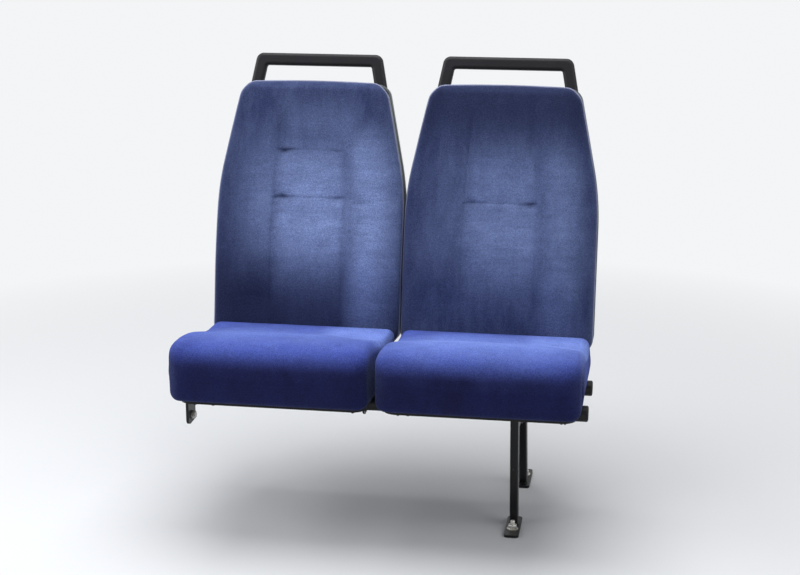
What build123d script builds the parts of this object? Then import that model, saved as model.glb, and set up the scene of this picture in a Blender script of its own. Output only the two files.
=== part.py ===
from build123d import *
import math
import os

# Twin passenger seat for a bus: two high-backed seats side by side on one steel frame,
# carried by a leg on the floor near the aisle and by two brackets on the side wall.
# Millimetres. +X points to the aisle, +Y to the rear of the seat, +Z up.
# The origin is on the floor, midway between the two floor bolts of the leg.

os.makedirs("parts", exist_ok=True)

# Place of the seats over the leg
SEAM_TO_LEG = 280.0       # the line where the two seats meet, measured from the leg
BIGHT_TO_LEG = 16.5       # the line where cushion and backrest meet, behind the floor bolts' middle
BIGHT_HEIGHT = 400.0      # that line above the floor
SEAT_PITCH = 436.0        # middle of one seat to the middle of the other
BACK_GAP = 1.0            # between the two backrests
CUSHION_GAP = 14.0        # between the two cushions
RECLINE = 13.5            # backrest's lean from upright, degrees
SEAT_RAKE = 3.2           # cushion board's slope down to the rear, degrees
SEAT_CLEARANCE = 0.3      # between a soft or sliding piece and its seat

# Backrest pad and its moulded rear shell, measured along and square to the lean
BACK_WIDTH = SEAT_PITCH - BACK_GAP
BACK_TOP_WIDTH = 334.0
BACK_HEIGHT = 553.0       # top of the backrest above the bight
BACK_DROP = 40.0          # how far it reaches down behind the cushion
BACK_TAPER_START = 307.0
BACK_TAPER_BLEND = 640.0
BACK_CROWN = 4.0          # rise of the top edge at its middle
BACK_TOP_CORNER = 32.0
BACK_LOW_CORNER = 42.0
PAD_THICKNESS = 50.0
PAD_LUMBAR = 10.0         # how far the lower back stands forward
PAD_LUMBAR_HEIGHT = 150.0
PAD_LUMBAR_START = 8.0    # the bulge begins just above the cushion
PAD_TOP_ROLL = 26.0
SHELL_DEPTH = 35.0
SHELL_WALL = 4.0
SHELL_CROWN_RADIUS = 1800.0
SHELL_EDGE = 13.0
KNEE_PANEL_WIDTH = 300.0  # shallow relief in the back of the shell
KNEE_PANEL_LOW = 70.0
KNEE_PANEL_HIGH = 400.0
KNEE_PANEL_DEPTH = 2.0
KNEE_PANEL_CORNER = 40.0

# Grab handle on top of each backrest
HANDLE_RISE = 51.5        # middle of its bar above the top of the backrest
HANDLE_TOP = BACK_HEIGHT + HANDLE_RISE
HANDLE_TOP_WIDTH = 268.0  # between the middles of its legs, at the bar
HANDLE_BASE_WIDTH = 288.0 # the same where they enter the shell
HANDLE_SUNK = 41.0        # how far its legs go down into the shell
HANDLE_ROOT = BACK_HEIGHT - HANDLE_SUNK
HANDLE_BREADTH = 28.0     # seen from the front
HANDLE_THICKNESS = 22.0   # front to rear
HANDLE_SECTION_CORNER = 8.0
HANDLE_OUTER_CORNER = 18.0
HANDLE_INNER_CORNER = 5.0
HANDLE_DEPTH = 66.0       # its middle behind the front of the backrest
HANDLE_POCKET_WALL = 4.0

# Cushion: side profile from the bight forward, heights from the bight
CUSHION_WIDTH = SEAT_PITCH - CUSHION_GAP
CUSHION_DEPTH = 391.0
CUSHION_FLAT = 40.0       # level stretch in front of the bight
CREST_FORWARD = 338.0     # knee roll's highest line
CREST_RISE = 52.0
FRONT_ROLL_DROP = 56.0    # the roll's height, from its crest to the front face
FRONT_SLOPE = 14.0        # how far the front face runs back in below
FRONT_CORNER = 40.0       # corners seen from above

# Cushion board and its pan, below the cushion
BASE_HEIGHT = 307.0       # cushion's underside above the floor, at the bight
PAN_SKIN = 3.0
PAN_RIM = 8.0
PAN_INSET = 12.0
PAN_FRONT_INSET = 34.0
PAN_CORNER = 30.0
PAN_HOLE = 27.0           # radius of the vent holes
PAN_REAR_GAP = 14.0

# Steel frame
TUBE_RADIUS = 17.5
TUBE_WALL = 2.5
TUBE_DROP = 38.0          # front tube's middle below the cushion's underside
FRONT_TUBE_FORWARD = 168.0
REAR_TUBE_DROP = 28.0     # rear tube's middle below the cushion's underside, along the lean
REAR_TUBE_BELOW = BIGHT_HEIGHT - BASE_HEIGHT + REAR_TUBE_DROP
TUBE_END_OUT = 3.0        # tube's aisle end beyond the cushion's side
CAP_HEAD = 5.0
CAP_PLUG = 16.0
ARM_THICKNESS = 4.0
ARM_INSET = 41.0          # arm's middle in from the cushion's side
ARM_SPREAD = CUSHION_WIDTH - 2 * ARM_INSET
ARM_FRONT = 318.0
ARM_LOBE = 26.0
ARM_WAIST = 34.0          # arm's height between the tubes
ARM_FLANGE = 24.0
ARM_HOLE = 8.0
UPRIGHT_RADIUS = 11.0
UPRIGHT_WALL = 2.0
UPRIGHT_SPREAD = 300.0    # between the two uprights of one backrest
UPRIGHT_DEPTH = 64.0      # their middle behind the front of the backrest
UPRIGHT_TOP = 150.0
UPRIGHT_BOSS_WALL = 4.0

# Screws from the rear of the shell into the uprights and the handle's legs
FIXING_HOLE = 2.6         # radius
FIXING_RISE = 66.0        # lower pair above the foot of the shell
FIXING_DROP = 24.0        # upper pair below its top

# Wall brackets at the window end
WALL_OUT = 16.0           # plate's outer face beyond the window side of the cushions
BRACKET_WIDTH = 54.0
BRACKET_HEIGHT = 124.0
BRACKET_THICKNESS = 6.0
BRACKET_SLEEVE = 34.0
BRACKET_SLEEVE_WALL = 4.0
WALL_BOLT_RISE = 90.0
BOLT_HOLE_RADIUS = 5.5

# Floor leg
POST_WIDTH = 18.0
POST_DEPTH = 32.0
POST_WALL = 2.0
POST_CORNER = 5.0
FRONT_POST_FOOT = 138.0   # front post's foot before the bight
REAR_POST_FOOT = 105.0    # rear post's foot behind the bight
FLOOR_BOLT_SPACING = 323.0
FOOT_WIDTH = 32.0
FOOT_THICKNESS = 6.0
FOOT_TOE = 36.0           # from the bolt to the end of the toe
CLAMP_WIDTH = 30.0
CLAMP_WALL = 4.5
CLAMP_EAR = 15.0
CLAMP_SLIT = 3.0
GUSSET_THICKNESS = 4.0
GUSSET_DROP = 31.0        # its top edge below the middle of the lower tube
GUSSET_DEPTH = 64.0
GUSSET_HOLE = 19.0

SEAM_X = -SEAM_TO_LEG
SIDES = (("window", -1), ("aisle", 1))
back_lean = Location((0, BIGHT_TO_LEG, BIGHT_HEIGHT), (-RECLINE, 0, 0))
base_slope = Location((0, BIGHT_TO_LEG, BASE_HEIGHT), (-SEAT_RAKE, 0, 0))


def save(name, shape):
    shape.label = name
    export_step(shape, f"parts/{name}.step")


def seat_middle(side):
    return SEAM_X + side * SEAT_PITCH / 2


def on_back(side, shape):
    return Pos(seat_middle(side), 0, 0) * back_lean * shape


def on_base(side, shape):
    return Pos(seat_middle(side), 0, 0) * base_slope * shape


def side_prism(outline, width):
    """Extrudes a face drawn in (Y, Z) to both sides of X = 0."""
    return extrude(Plane.YZ * outline, amount=width / 2, both=True)


def at_height(face, low, high):
    return face.vertices().filter_by(lambda v: low < v.Y < high)


# Backrest, in its own frame: X across, Y rearward from the front face, Z up the lean
def back_outline(inset=0.0):
    """Front view of the backrest, drawn in (X, Z)."""
    half = BACK_WIDTH / 2
    top_half = BACK_TOP_WIDTH / 2
    shoulder = BACK_HEIGHT - BACK_CROWN
    sides = Polyline(
        (top_half, shoulder),
        (half, BACK_TAPER_START),
        (half, -BACK_DROP),
        (-half, -BACK_DROP),
        (-half, BACK_TAPER_START),
        (-top_half, shoulder),
    )
    crown = ThreePointArc((top_half, shoulder), (0, BACK_HEIGHT), (-top_half, shoulder))
    face = make_face(sides + crown)
    face = fillet(at_height(face, -BACK_DROP - 1, -BACK_DROP + 1), BACK_LOW_CORNER)
    face = fillet(at_height(face, BACK_TAPER_START - 1, BACK_TAPER_START + 1), BACK_TAPER_BLEND)
    face = fillet(at_height(face, shoulder - 1, shoulder + 1), BACK_TOP_CORNER)
    if inset:
        face = offset(face, -inset, kind=Kind.INTERSECTION)
    return face


def back_prism(front, rear, inset=0.0):
    """The backrest's outline between two depths behind its front face."""
    drawn = Plane.XZ.offset(-front) * back_outline(inset)
    return extrude(drawn, amount=-(rear - front))


def backrest_pad():
    """Foam pad with a fuller lower back and a rolled top."""
    low = -BACK_DROP
    top = BACK_HEIGHT
    lumbar_end = 2 * PAD_LUMBAR_HEIGHT - PAD_LUMBAR_START
    foot = Line((0, low), (0, PAD_LUMBAR_START))
    lumbar = ThreePointArc(foot @ 1, (-PAD_LUMBAR, PAD_LUMBAR_HEIGHT), (0, lumbar_end))
    rise = Line(lumbar @ 1, (0, top - PAD_TOP_ROLL))
    roll = RadiusArc(rise @ 1, (PAD_TOP_ROLL, top), PAD_TOP_ROLL)
    rear = Polyline(roll @ 1, (PAD_THICKNESS, top), (PAD_THICKNESS, low), (0, low))
    profile = make_face(foot + lumbar + rise + roll + rear)
    pad = back_prism(-PAD_LUMBAR, PAD_THICKNESS) & side_prism(profile, BACK_WIDTH)
    return pad


def crown_barrel(rear, radius):
    """Large upright cylinder whose skin is the crowned rear of the shell."""
    tall = BACK_HEIGHT + BACK_DROP
    return Pos(0, rear - radius, (BACK_HEIGHT - BACK_DROP) / 2) * Cylinder(radius, tall + 2)


def crowned_block(front, rear, inset, radius):
    return back_prism(front, rear, inset) & crown_barrel(rear, radius)


def backrest_shell():
    """Moulded tray behind the pad: crowned back, walls, upright bosses and handle pockets."""
    rear = PAD_THICKNESS + SHELL_DEPTH
    outer = crowned_block(PAD_THICKNESS, rear, 0, SHELL_CROWN_RADIUS)
    rear_edges = outer.faces().sort_by(Axis.Y)[-1].edges()
    outer = fillet(rear_edges, SHELL_EDGE)
    relief = Pos(0, rear, (KNEE_PANEL_LOW + KNEE_PANEL_HIGH) / 2) * Rot(90, 0, 0) * RectangleRounded(
        KNEE_PANEL_WIDTH, KNEE_PANEL_HIGH - KNEE_PANEL_LOW, KNEE_PANEL_CORNER
    )
    relief = extrude(relief, amount=SHELL_DEPTH, both=True)
    outer -= relief - crown_barrel(rear - KNEE_PANEL_DEPTH, SHELL_CROWN_RADIUS - KNEE_PANEL_DEPTH)
    inner_radius = SHELL_CROWN_RADIUS - SHELL_WALL - KNEE_PANEL_DEPTH
    inner = crowned_block(0, rear - SHELL_WALL - KNEE_PANEL_DEPTH, SHELL_WALL, inner_radius)
    shell = outer - inner
    for hand in (-1, 1):
        x = hand * UPRIGHT_SPREAD / 2
        boss = cylinder_up(x, UPRIGHT_DEPTH, UPRIGHT_RADIUS + UPRIGHT_BOSS_WALL, -BACK_DROP, UPRIGHT_TOP)
        boss &= back_prism(PAD_THICKNESS, rear - 1, 1)
        shell += boss
        bore = cylinder_up(x, UPRIGHT_DEPTH, UPRIGHT_RADIUS + SEAT_CLEARANCE, -BACK_DROP - 1, UPRIGHT_TOP)
        shell -= bore
    pocket_block = handle_legs(HANDLE_POCKET_WALL, HANDLE_ROOT - HANDLE_POCKET_WALL)
    shell += pocket_block & back_prism(PAD_THICKNESS, rear - 1, 1)
    shell -= handle_legs(SEAT_CLEARANCE, HANDLE_ROOT - SEAT_CLEARANCE)
    for x, height in fixing_places():
        shell -= Pos(x, UPRIGHT_DEPTH + SHELL_DEPTH / 2, height) * Rot(90, 0, 0) * Cylinder(
            FIXING_HOLE, SHELL_DEPTH
        )
    return shell


def fixing_places():
    """Middles of the four screw holes, (X, Z)."""
    high = BACK_HEIGHT - FIXING_DROP
    leg = leg_spread(high)
    low = FIXING_RISE - BACK_DROP
    upright = UPRIGHT_SPREAD / 2
    return [(-upright, low), (upright, low), (-leg, high), (leg, high)]


def cylinder_up(x, depth, radius, low, high):
    return Pos(x, depth, (low + high) / 2) * Cylinder(radius, high - low)


# Grab handle, in the backrest's frame
def handle_section(grow=0.0):
    return RectangleRounded(
        HANDLE_BREADTH + 2 * grow, HANDLE_THICKNESS + 2 * grow, HANDLE_SECTION_CORNER + grow
    )


def leg_spread(height):
    """Half the distance between the middles of the two legs, at a height."""
    lean = (HANDLE_BASE_WIDTH - HANDLE_TOP_WIDTH) / 2 / HANDLE_RISE
    return HANDLE_TOP_WIDTH / 2 + lean * (HANDLE_TOP - height)


def leg_plane(hand, height):
    """Plane square to one leg of the handle, at a height."""
    foot = Vector(hand * leg_spread(height), HANDLE_DEPTH, height)
    head = Vector(hand * leg_spread(HANDLE_TOP), HANDLE_DEPTH, HANDLE_TOP)
    return Plane(foot, x_dir=(0, 1, 0), z_dir=head - foot)


def handle_outline(side, low, corner):
    """Outer (side 1) or inner (side -1) outline of the handle in (X, Z), open end at the low height."""
    leg = Vector(leg_spread(HANDLE_TOP - 1) - leg_spread(HANDLE_TOP), 1, 0)
    reach = side * HANDLE_BREADTH / 2 * leg.length
    top = HANDLE_TOP + side * HANDLE_BREADTH / 2
    corners = [
        (hand * (leg_spread(height) + reach), height)
        for hand, height in ((-1, low), (-1, top), (1, top), (1, low))
    ]
    face = make_face(Polyline(*corners, corners[0]))
    return fillet(at_height(face, top - 1, top + 1), corner)


def grab_handle():
    """Moulded loop of two leaning legs and a bar, with its long edges rounded."""
    low = HANDLE_ROOT - HANDLE_BREADTH
    loop = handle_outline(1, low, HANDLE_OUTER_CORNER) - handle_outline(-1, low - 1, HANDLE_INNER_CORNER)
    handle = extrude(Plane.XZ.offset(-HANDLE_DEPTH) * loop, amount=HANDLE_THICKNESS / 2, both=True)
    fronts = handle.faces().sort_by(Axis.Y)
    edges = (fronts[0].edges() + fronts[-1].edges()).filter_by(lambda e: e.center().Z > low + 1)
    handle = fillet(edges, HANDLE_SECTION_CORNER)
    for hand in (-1, 1):
        below = leg_plane(hand, HANDLE_ROOT) * Rectangle(2 * HANDLE_BREADTH, 2 * HANDLE_BREADTH)
        handle -= extrude(below, amount=-2 * HANDLE_BREADTH)
    return handle


def handle_legs(grow, low):
    """The two legs alone, grown all round, from a height up past the top of the backrest."""
    legs = None
    for hand in (-1, 1):
        start = leg_plane(hand, low)
        length = (leg_plane(hand, BACK_HEIGHT).origin - start.origin).length + BACK_CROWN
        leg = extrude(start * Rot(0, 0, 90) * handle_section(grow), amount=length)
        legs = leg if legs is None else legs + leg
    return legs


# Cushion, from the bight forward in (Y, Z), level with the floor
def cushion_profile():
    lean = math.tan(math.radians(RECLINE))
    rake = math.tan(math.radians(SEAT_RAKE))
    depth_below = BIGHT_HEIGHT - BASE_HEIGHT
    rear_low_y = -(depth_below * lean) / (1 + rake * lean)
    rear_low = (rear_low_y, -depth_below - rear_low_y * rake)
    rear_high = (0, 0)
    flat = Line(rear_high, (-CUSHION_FLAT, 0))
    turn = (-(CUSHION_FLAT + CREST_FORWARD) / 2, CREST_RISE / 2)
    hollow = TangentArc(flat @ 1, turn, tangent=flat % 1)
    rise = TangentArc(hollow @ 1, (-CREST_FORWARD, CREST_RISE), tangent=hollow % 1)
    roll = TangentArc(rise @ 1, (-CUSHION_DEPTH, CREST_RISE - FRONT_ROLL_DROP), tangent=rise % 1)
    front_low_y = -CUSHION_DEPTH + FRONT_SLOPE
    front_low = (front_low_y, -depth_below - front_low_y * rake)
    rest = Polyline(roll @ 1, front_low, rear_low, rear_high)
    return make_face(flat + hollow + rise + roll + rest)


def seat_cushion(side):
    body = side_prism(cushion_profile(), CUSHION_WIDTH)
    plan = RectangleRounded(CUSHION_WIDTH, CUSHION_DEPTH + 2 * FRONT_CORNER, FRONT_CORNER)
    plan = Pos(0, FRONT_CORNER - CUSHION_DEPTH / 2, 0) * plan
    body &= extrude(plan, amount=BIGHT_HEIGHT, both=True)
    place = Pos(seat_middle(side), BIGHT_TO_LEG - SEAT_CLEARANCE, BIGHT_HEIGHT + SEAT_CLEARANCE)
    return place * body


# Pan under the cushion, in the sloping frame: Y rearward, Z square to the board
def pan_bounds():
    front = -(CUSHION_DEPTH - FRONT_SLOPE - PAN_FRONT_INSET)
    rear = -(BIGHT_HEIGHT - BASE_HEIGHT) * math.tan(math.radians(RECLINE)) - PAN_REAR_GAP
    return front, rear


def seat_pan():
    front, rear = pan_bounds()
    middle = (front + rear) / 2
    width = CUSHION_WIDTH - 2 * PAN_INSET
    plate = Pos(0, middle) * RectangleRounded(width, rear - front, PAN_CORNER)
    pan = extrude(plate, amount=-(PAN_SKIN + PAN_RIM))
    inner = Pos(0, middle) * RectangleRounded(
        width - 2 * PAN_SKIN, rear - front - 2 * PAN_SKIN, PAN_CORNER - PAN_SKIN
    )
    pan -= Pos(0, 0, -PAN_SKIN) * extrude(inner, amount=-(PAN_RIM + 1))
    for column in (-1, 0, 1):
        for row in (-1, 1):
            x = column * width / 4
            y = middle + row * (rear - front) / 4
            pan -= Pos(x, y, 0) * Cylinder(PAN_HOLE, 4 * PAN_SKIN)
    return pan


# Cross tubes
def in_row(location):
    spot = location.position
    return spot.Y, spot.Z


FRONT_TUBE = in_row(base_slope * Pos(0, -FRONT_TUBE_FORWARD, -TUBE_DROP))
REAR_TUBE = in_row(back_lean * Pos(0, UPRIGHT_DEPTH, -REAR_TUBE_BELOW))
TUBES = (("front", FRONT_TUBE), ("rear", REAR_TUBE))
AISLE_END = SEAM_X + SEAT_PITCH / 2 + CUSHION_WIDTH / 2 + TUBE_END_OUT
WALL_FACE = SEAM_X - SEAT_PITCH / 2 - CUSHION_WIDTH / 2 - WALL_OUT
WALL_END = WALL_FACE + BRACKET_THICKNESS


def bar_along_x(spot, radius, low, high):
    return Pos((low + high) / 2, spot[0], spot[1]) * Rot(0, 90, 0) * Cylinder(radius, high - low)


def cross_tube(spot):
    outside = bar_along_x(spot, TUBE_RADIUS, WALL_END, AISLE_END)
    return outside - bar_along_x(spot, TUBE_RADIUS - TUBE_WALL, WALL_END - 1, AISLE_END + 1)


def tube_cap(spot):
    head = bar_along_x(spot, TUBE_RADIUS, AISLE_END, AISLE_END + CAP_HEAD)
    head = fillet(head.faces().sort_by(Axis.X)[-1].edges(), CAP_HEAD - 1)
    inside = TUBE_RADIUS - TUBE_WALL - SEAT_CLEARANCE
    plug = bar_along_x(spot, inside, AISLE_END - CAP_PLUG, AISLE_END)
    return head + plug


# Frame arms, drawn in the row's (Y, Z)
def base_point(y, drop):
    return in_row(base_slope * Pos(0, y, -drop))


def frame_arm(x, flange_side):
    top = PAN_SKIN
    front, rear = pan_bounds()
    strip = make_face(Polyline(
        base_point(-ARM_FRONT, top),
        base_point(rear, top),
        (REAR_TUBE[0] + ARM_LOBE / 2, REAR_TUBE[1] + ARM_LOBE / 2),
        (REAR_TUBE[0], REAR_TUBE[1] - ARM_LOBE / 2),
        base_point(-FRONT_TUBE_FORWARD / 2, top + ARM_WAIST),
        base_point(-FRONT_TUBE_FORWARD, TUBE_DROP + ARM_LOBE / 2),
        base_point(-ARM_FRONT, top + ARM_WAIST / 2),
        base_point(-ARM_FRONT, top),
    ))
    lobes = Pos(*FRONT_TUBE) * Circle(ARM_LOBE) + Pos(*REAR_TUBE) * Circle(ARM_LOBE)
    under_pan = make_face(Polyline(
        base_point(-ARM_FRONT - 1, top),
        base_point(-ARM_FRONT - 1, BASE_HEIGHT),
        base_point(REAR_TUBE[0] + 2 * ARM_LOBE, BASE_HEIGHT),
        base_point(REAR_TUBE[0] + 2 * ARM_LOBE, top),
        base_point(-ARM_FRONT - 1, top),
    ))
    face = (strip + lobes) & under_pan
    rim_slot = 2 * (PAN_RIM + PAN_SKIN + SEAT_CLEARANCE)
    face -= Pos(*base_point(rear, 0)) * Rot(0, 0, -SEAT_RAKE) * Rectangle(3 * PAN_SKIN, rim_slot)
    for spot in (FRONT_TUBE, REAR_TUBE):
        face -= Pos(*spot) * Circle(TUBE_RADIUS + SEAT_CLEARANCE)
    middle = (-FRONT_TUBE_FORWARD + rear) / 2
    for forward in (middle - 3 * ARM_HOLE, middle, middle + 3 * ARM_HOLE):
        face -= Pos(*base_point(forward, top + ARM_WAIST / 2)) * Circle(ARM_HOLE)
    plate = Pos(x, 0, 0) * side_prism(face, ARM_THICKNESS)
    flange_rear = rear - PAN_SKIN - SEAT_CLEARANCE
    flange = Pos(0, (flange_rear - ARM_FRONT) / 2, -top - ARM_THICKNESS / 2) * Box(
        ARM_FLANGE, flange_rear + ARM_FRONT, ARM_THICKNESS
    )
    reach = flange_side * (ARM_FLANGE - ARM_THICKNESS) / 2
    return plate + Pos(x + reach, 0, 0) * base_slope * flange


def back_upright(side, hand):
    """Round upright from the rear cross tube up into the backrest shell."""
    x = hand * UPRIGHT_SPREAD / 2
    high = UPRIGHT_TOP - SEAT_CLEARANCE
    outside = cylinder_up(x, UPRIGHT_DEPTH, UPRIGHT_RADIUS, -REAR_TUBE_BELOW, high)
    inside = cylinder_up(x, UPRIGHT_DEPTH, UPRIGHT_RADIUS - UPRIGHT_WALL, -REAR_TUBE_BELOW - 1, high + 1)
    tube = on_back(side, outside - inside)
    middle = seat_middle(side) + x
    return tube - bar_along_x(REAR_TUBE, TUBE_RADIUS, middle - 2 * UPRIGHT_RADIUS, middle + 2 * UPRIGHT_RADIUS)


# Wall brackets: one rectangle of four bolts over the two plates
WALL_BOLT_HEIGHT = (FRONT_TUBE[1] + REAR_TUBE[1]) / 2


def wall_bracket(spot):
    plate = Pos(WALL_FACE + BRACKET_THICKNESS / 2, spot[0], WALL_BOLT_HEIGHT) * Box(
        BRACKET_THICKNESS, BRACKET_WIDTH, BRACKET_HEIGHT
    )
    plate = fillet(plate.edges().filter_by(Axis.X), BRACKET_WIDTH / 4)
    radius = TUBE_RADIUS + SEAT_CLEARANCE
    sleeve = bar_along_x(spot, radius + BRACKET_SLEEVE_WALL, WALL_END, WALL_END + BRACKET_SLEEVE)
    sleeve -= bar_along_x(spot, radius, WALL_END, WALL_END + BRACKET_SLEEVE)
    bracket = plate + sleeve
    for hand in (-1, 1):
        height = WALL_BOLT_HEIGHT + hand * WALL_BOLT_RISE / 2
        bracket -= bar_along_x((spot[0], height), BOLT_HOLE_RADIUS, WALL_FACE - 1, WALL_END + 1)
    return bracket


# Floor leg
CLAMP_RADIUS = TUBE_RADIUS + CLAMP_WALL
POSTS = (
    ("front", FRONT_TUBE, BIGHT_TO_LEG - FRONT_POST_FOOT, -1),
    ("rear", REAR_TUBE, BIGHT_TO_LEG + REAR_POST_FOOT, 1),
)


def post_bar(spot, foot_y, width, depth, corner):
    """Straight bar from a tube's middle down to its foot, cut level on the foot plate."""
    foot = Vector(0, foot_y, 0)
    head = Vector(0, spot[0], spot[1])
    start = Plane(foot, x_dir=(1, 0, 0), z_dir=head - foot)
    bar = extrude(start * RectangleRounded(width, depth, corner), amount=(head - foot).length)
    below = extrude(start * RectangleRounded(width, depth, corner), amount=-depth)
    ground = Pos(0, foot_y, FOOT_THICKNESS - depth) * Box(2 * width, 4 * depth, 2 * depth)
    return bar + below - ground


def leg_post(spot, foot_y):
    outside = post_bar(spot, foot_y, POST_WIDTH, POST_DEPTH, POST_CORNER)
    inside = post_bar(
        spot, foot_y, POST_WIDTH - 2 * POST_WALL, POST_DEPTH - 2 * POST_WALL, POST_CORNER - POST_WALL
    )
    return outside - inside - bar_along_x(spot, CLAMP_RADIUS, -POST_DEPTH, POST_DEPTH)


def leg_clamp(spot):
    """Split ring round the cross tube, with two ears for its bolt."""
    ears = Pos(CLAMP_RADIUS, 0) * Rectangle(2 * CLAMP_EAR, 2 * CLAMP_WALL + CLAMP_SLIT)
    face = Circle(CLAMP_RADIUS) + ears - Circle(TUBE_RADIUS)
    face -= Pos(CLAMP_RADIUS, 0) * Rectangle(4 * CLAMP_EAR, CLAMP_SLIT)
    return Pos(0, spot[0], spot[1]) * side_prism(face, CLAMP_WIDTH)


def leg_foot(foot_y, toe_side):
    hole_y = toe_side * FLOOR_BOLT_SPACING / 2
    toe_end = hole_y + toe_side * FOOT_TOE
    heel = foot_y - toe_side * POST_DEPTH
    middle = (toe_end + heel) / 2
    plate = Pos(0, middle) * RectangleRounded(FOOT_WIDTH, abs(toe_end - heel), FOOT_WIDTH / 4)
    foot = extrude(plate, amount=FOOT_THICKNESS)
    return foot - Pos(0, hole_y, 0) * Cylinder(BOLT_HOLE_RADIUS, 4 * FOOT_THICKNESS)


def leg_gusset():
    front = post_bar(FRONT_TUBE, POSTS[0][2], 2 * POST_WIDTH, POST_DEPTH, POST_CORNER)
    rear = post_bar(REAR_TUBE, POSTS[1][2], 2 * POST_WIDTH, POST_DEPTH, POST_CORNER)
    high = min(FRONT_TUBE[1], REAR_TUBE[1]) - GUSSET_DROP
    low = high - GUSSET_DEPTH
    low_front = (FRONT_TUBE[0], low)
    low_rear = (REAR_TUBE[0], low)
    middle = ((FRONT_TUBE[0] + REAR_TUBE[0]) / 2, (low + high) / 2 - POST_WALL)
    upper = Polyline(low_rear, (REAR_TUBE[0], high), (FRONT_TUBE[0], high), low_front)
    face = make_face(upper + ThreePointArc(low_front, middle, low_rear))
    for hand in (-1, 1):
        spot = (middle[0] + hand * (REAR_TUBE[0] - FRONT_TUBE[0]) / 4, high - POST_DEPTH)
        face -= Pos(*spot) * Circle(GUSSET_HOLE / 2)
    return side_prism(face, GUSSET_THICKNESS) - front - rear


def main():
    pad = backrest_pad()
    shell = backrest_shell()
    handle = grab_handle()
    pan = seat_pan()
    for name, side in SIDES:
        save(f"backrest_pad_{name}", on_back(side, pad))
        save(f"backrest_shell_{name}", on_back(side, shell))
        save(f"grab_handle_{name}", on_back(side, handle))
        save(f"seat_cushion_{name}", seat_cushion(side))
        save(f"seat_pan_{name}", on_base(side, pan))
        for place, hand in (("inner", -side), ("outer", side)):
            x = seat_middle(side) + hand * ARM_SPREAD / 2
            save(f"frame_arm_{name}_{place}", frame_arm(x, -hand))
            save(f"back_upright_{name}_{place}", back_upright(side, hand))
    for name, spot in TUBES:
        save(f"cross_tube_{name}", cross_tube(spot))
        save(f"tube_cap_{name}", tube_cap(spot))
        save(f"wall_bracket_{name}", wall_bracket(spot))
        save(f"leg_clamp_{name}", leg_clamp(spot))
    for name, spot, foot_y, toe_side in POSTS:
        save(f"leg_post_{name}", leg_post(spot, foot_y))
        save(f"leg_foot_{name}", leg_foot(foot_y, toe_side))
    save("leg_gusset", leg_gusset())


main()
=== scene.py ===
import math
import random

import bmesh
import bpy
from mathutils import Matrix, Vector, noise


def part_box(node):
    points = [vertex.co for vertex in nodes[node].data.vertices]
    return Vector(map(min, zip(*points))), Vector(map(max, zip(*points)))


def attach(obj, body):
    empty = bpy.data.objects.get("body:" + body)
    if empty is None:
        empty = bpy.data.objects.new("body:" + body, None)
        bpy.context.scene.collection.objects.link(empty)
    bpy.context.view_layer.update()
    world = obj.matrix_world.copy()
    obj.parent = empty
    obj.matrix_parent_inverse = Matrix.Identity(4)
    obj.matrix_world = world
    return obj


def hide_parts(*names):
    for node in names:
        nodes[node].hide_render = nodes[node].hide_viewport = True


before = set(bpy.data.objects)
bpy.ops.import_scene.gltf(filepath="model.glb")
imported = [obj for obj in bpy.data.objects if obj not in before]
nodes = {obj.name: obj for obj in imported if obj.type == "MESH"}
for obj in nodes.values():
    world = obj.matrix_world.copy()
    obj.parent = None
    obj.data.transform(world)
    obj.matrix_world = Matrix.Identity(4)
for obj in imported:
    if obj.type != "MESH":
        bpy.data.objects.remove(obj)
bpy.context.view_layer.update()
random.seed(7)

# Sizes in metres, in the part's own frame
RECLINE = math.radians(13.5)
SEAT_RAKE = math.radians(3.2)
BIGHT = Vector((0, 0.0165, 0.400))
BASE_HEIGHT = 0.307
SIDES = ("window", "aisle")


def middle_x(node):
    low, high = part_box(node)
    return (low[0] + high[0]) / 2


SEAT_X = {side: middle_x(f"backrest_pad_{side}") for side in SIDES}
BACK_HALF = 0.2175
BACK_TOP_HALF = 0.167
BACK_TAPER_START = 0.307
BACK_TAPER_BLEND = 0.062
BACK_TOP = 0.553
BACK_CROWN = 0.004
BACK_LOW = -0.040
BACK_CORNER = 0.032
PAD_THICKNESS = 0.050
SHELL_REAR = 0.085
SHELL_CROWN_RADIUS = 1.8
CUSHION_HALF = (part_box("seat_cushion_aisle")[1][0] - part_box("seat_cushion_aisle")[0][0]) / 2
CUSHION_DEPTH = 0.391


def mix(a, b, t):
    return a + (b - a) * t


def smooth(low, high, value):
    """0 below low, 1 above high, with a soft turn at both ends."""
    t = min(1.0, max(0.0, (value - low) / (high - low)))
    return t * t * (3 - 2 * t)


def bump_at(value, centre, half):
    """1 at the centre, falling softly to 0 at half either side."""
    t = abs(value - centre) / half
    return 0.0 if t >= 1 else (1 - t * t) ** 2


def ticks(low, high, step, marks=(), near=()):
    """Even steps from low to high, with closer ones at the given distances from each mark."""
    extra = [mark + sign * gap for mark in marks for gap in near for sign in (-1, 1)] + list(marks)
    values = sorted({round(v, 6) for v in extra if low < v < high})
    close = list(values)
    count = round((high - low) / step)
    for k in range(count + 1):
        even = low + (high - low) * k / count
        if k in (0, count) or all(abs(even - v) > step * 0.45 for v in close):
            values.append(even)
    return sorted(values)


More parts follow.
